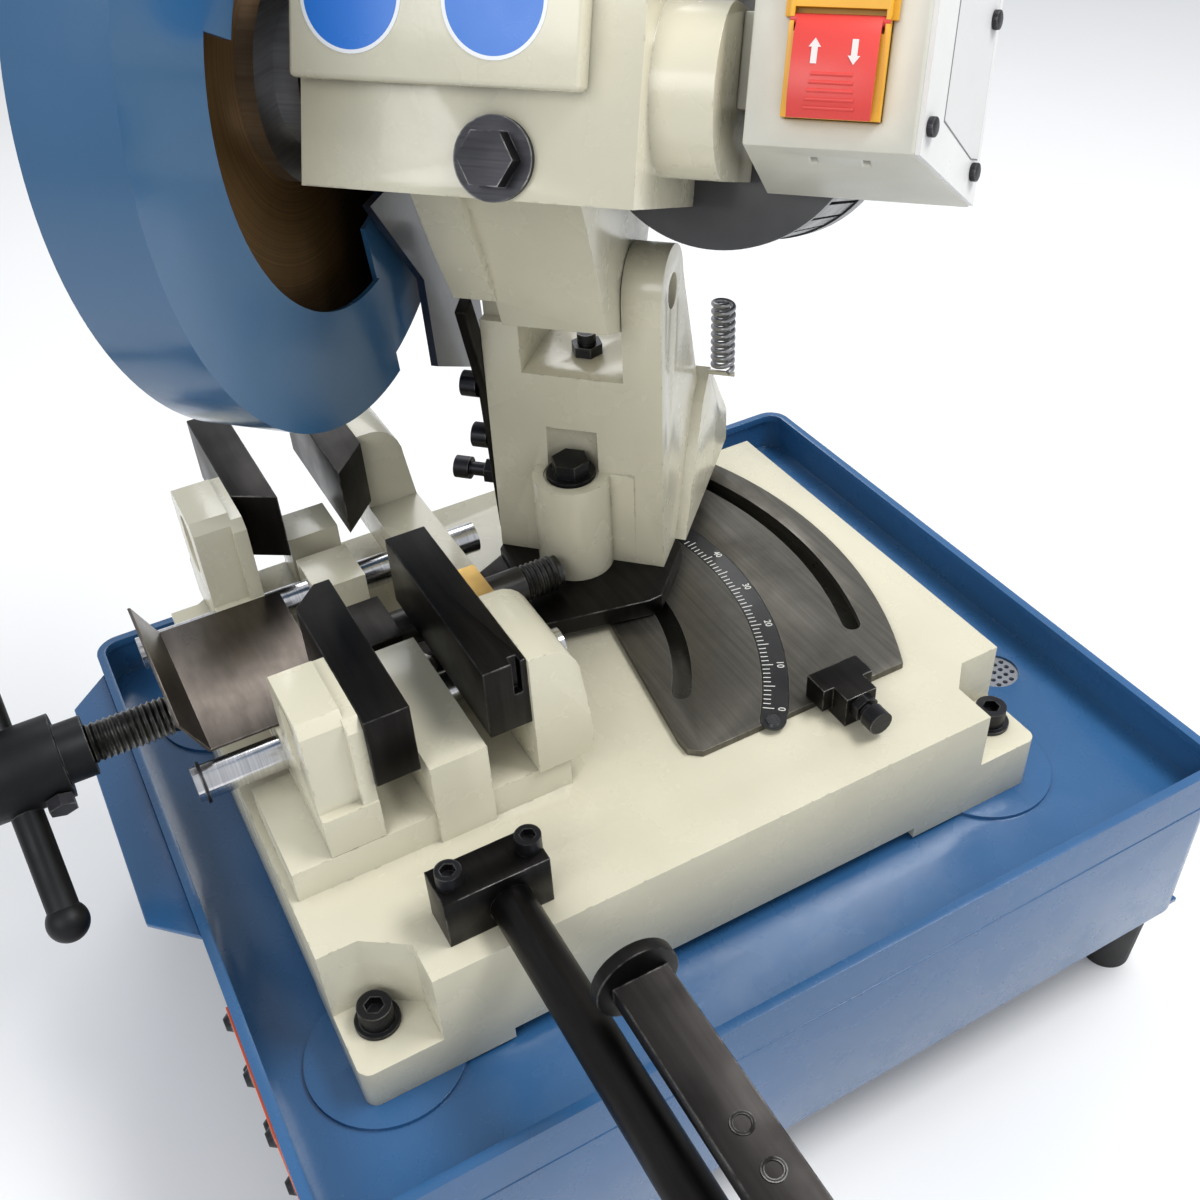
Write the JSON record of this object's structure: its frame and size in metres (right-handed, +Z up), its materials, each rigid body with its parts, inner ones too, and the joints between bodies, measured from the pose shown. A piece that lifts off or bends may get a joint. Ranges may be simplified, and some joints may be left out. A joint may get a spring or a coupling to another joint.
{
  "type": "circular cold saw",
  "caption": "Bench-top circular cold saw: mitring, pull-down head with a guarded blade, self-centring vise, length stop and coolant tray.",
  "frame": {"origin": "on the floor under the swivel axis of the head, which is the bore of the swivel pin", "axes": "+Z up, +Y from the operator to the rear of the machine, +X to the operator's right"},
  "size_m": [0.6436, 0.567, 0.7497],
  "materials": {
    "tray_blue": "gloss enamel, orange peel and scratches",
    "plate_orange": "satin printed sheet",
    "fastener_black": "black oxide",
    "rubber": "matt",
    "mesh_steel": "perforated sheet",
    "casting_cream": "gloss enamel over rough casting",
    "machined_iron": "ground, smudged with oil",
    "scale_black": "black with light marks",
    "bright_steel": "polished",
    "black_oxide": "black oxide, bright worn edges",
    "cover_sheet": "dark lacquered sheet",
    "bronze": "oiled bronze",
    "thread_steel": "oiled thread",
    "handle_black": "satin black",
    "guard_blue": "gloss enamel",
    "blade_bronze": "ground steel with a bronze tint",
    "steel": "ground",
    "motor_black": "satin black",
    "box_cream": "moulded, fine texture",
    "box_white": "white panel",
    "switch_yellow": "moulded",
    "switch_red": "moulded",
    "button_green": "moulded",
    "grip_black": "moulded grip"
  },
  "bodies": {
    "frame": {"coolant_tray": "tray_blue", "front_drip_shelf": "tray_blue", "blank_plate": "plate_orange", "plate_screws": "fastener_black", "rubber_feet": "rubber", "drain_mesh": "mesh_steel", "base_casting": "casting_cream", "base_bolts": "fastener_black", "mitre_sector": "machined_iron", "mitre_scale": "scale_black", "scale_rivets": "bright_steel", "angle_stop_block": "black_oxide", "angle_stop_screws": "fastener_black", "guide_rods": "bright_steel", "rod_snap_rings": "fastener_black", "screw_thrust_collar": "black_oxide", "swivel_pin": "steel", "stop_clamp_block": "black_oxide", "stop_block_screws": "fastener_black", "stop_rod": "black_oxide"},
    "front_jaw": {"front_jaw_carrier": "casting_cream", "front_jaw_plates": "black_oxide", "front_screw_nut": "bronze", "chip_cover": "cover_sheet"},
    "rear_jaw": {"rear_jaw_carrier": "casting_cream", "rear_jaw_plates": "black_oxide", "rear_screw_nut": "bronze"},
    "screw": {"vise_screw": "thread_steel", "vise_handle": "handle_black", "handle_set_bolt": "fastener_black"},
    "turntable": {"swivel_plate": "black_oxide", "column": "casting_cream", "swivel_bolts": "fastener_black", "link_plate": "black_oxide", "link_screws": "fastener_black", "rest_stop_bolt": "fastener_black", "head_pivot_pin": "bright_steel", "return_spring": "steel"},
    "head": {"gearbox_housing": "casting_cream", "gearbox_cover": "casting_cream", "oil_plug": "fastener_black", "spindle_bearings": "steel", "motor_body": "motor_black", "motor_fan_cover": "motor_black", "upper_guard": "guard_blue", "switch_box": "box_cream", "switch_side_cover": "box_white", "switch_body": "switch_yellow", "pull_handle": "grip_black"},
    "arbor": {"spindle": "steel", "blade_flanges": "steel", "blade": "blade_bronze", "bevel_gear": "bronze"},
    "rotor": {"motor_shaft": "steel"},
    "swing_guard": {"lower_guard": "guard_blue"},
    "flap": {"switch_flap": "switch_red"},
    "green_button": {"start_button": "button_green"},
    "red_button": {"stop_button": "switch_red"},
    "length_stop": {"stop_carrier": "black_oxide"}
  },
  "joints": [
    {"name": "head_swivel", "type": "hinge", "parent": "frame", "child": "turntable", "pos_m": [0, 0, 0.22], "axis": [0, 0, 1], "range_deg": [-45, 0]},
    {"name": "head_pivot", "type": "hinge", "parent": "turntable", "child": "head", "pos_m": [-0.09405, 0.09405, 0.386], "axis": [0.7071, 0.7071, 0], "range_deg": [0, 54], "stiffness_Nm_per_rad": 30, "springref_deg": -74.48, "deforming": ["return_spring"]},
    {"name": "blade_spin", "type": "hinge", "parent": "head", "child": "arbor", "pos_m": [-0.06998, 0.01341, 0.50975], "axis": [0.7071, 0.7071, 0], "continuous": true},
    {"name": "motor_spin", "type": "hinge", "parent": "head", "child": "rotor", "pos_m": [-0.02022, 0.21396, 0.46666], "axis": [-0.6556, 0.6556, -0.3746], "continuous": true},
    {"name": "guard_swing", "type": "hinge", "parent": "head", "child": "swing_guard", "pos_m": [-0.06998, 0.01341, 0.50975], "axis": [0.7071, 0.7071, 0], "range_deg": [-122.1, 0]},
    {"name": "screw_turn", "type": "hinge", "parent": "frame", "child": "screw", "pos_m": [-0.011, -0.1, 0.245], "axis": [0, 1, 0], "range_deg": [-1440, 1440]},
    {"name": "front_jaw_slide", "type": "slide", "parent": "frame", "child": "front_jaw", "axis": [0, 1, 0], "range_m": [-0.0161, 0.0161]},
    {"name": "rear_jaw_slide", "type": "slide", "parent": "frame", "child": "rear_jaw", "axis": [0, 1, 0], "range_m": [-0.0161, 0.0161]},
    {"name": "switch_flap_hinge", "type": "hinge", "parent": "head", "child": "flap", "pos_m": [0.11011, 0.16425, 0.54399], "axis": [0.7071, 0.7071, 0], "range_deg": [-70, 0]},
    {"name": "start_button_press", "type": "slide", "parent": "head", "child": "green_button", "axis": [-0.6556, 0.6556, -0.3746], "range_m": [0, 0.003], "stiffness_N_per_m": 400},
    {"name": "stop_button_press", "type": "slide", "parent": "head", "child": "red_button", "axis": [-0.6556, 0.6556, -0.3746], "range_m": [0, 0.003], "stiffness_N_per_m": 400},
    {"name": "length_stop_slide", "type": "slide", "parent": "frame", "child": "length_stop", "axis": [1, 0, 0], "range_m": [-0.05, 0.09]}
  ],
  "couplings": [
    {"joint": "front_jaw_slide", "follows": "screw_turn", "m_per_rad": 0.00063662},
    {"joint": "rear_jaw_slide", "follows": "screw_turn", "m_per_rad": -0.00063662},
    {"joint": "guard_swing", "follows": "head_pivot", "ratio": -2.26},
    {"joint": "motor_spin", "follows": "blade_spin", "ratio": 2}
  ]
}
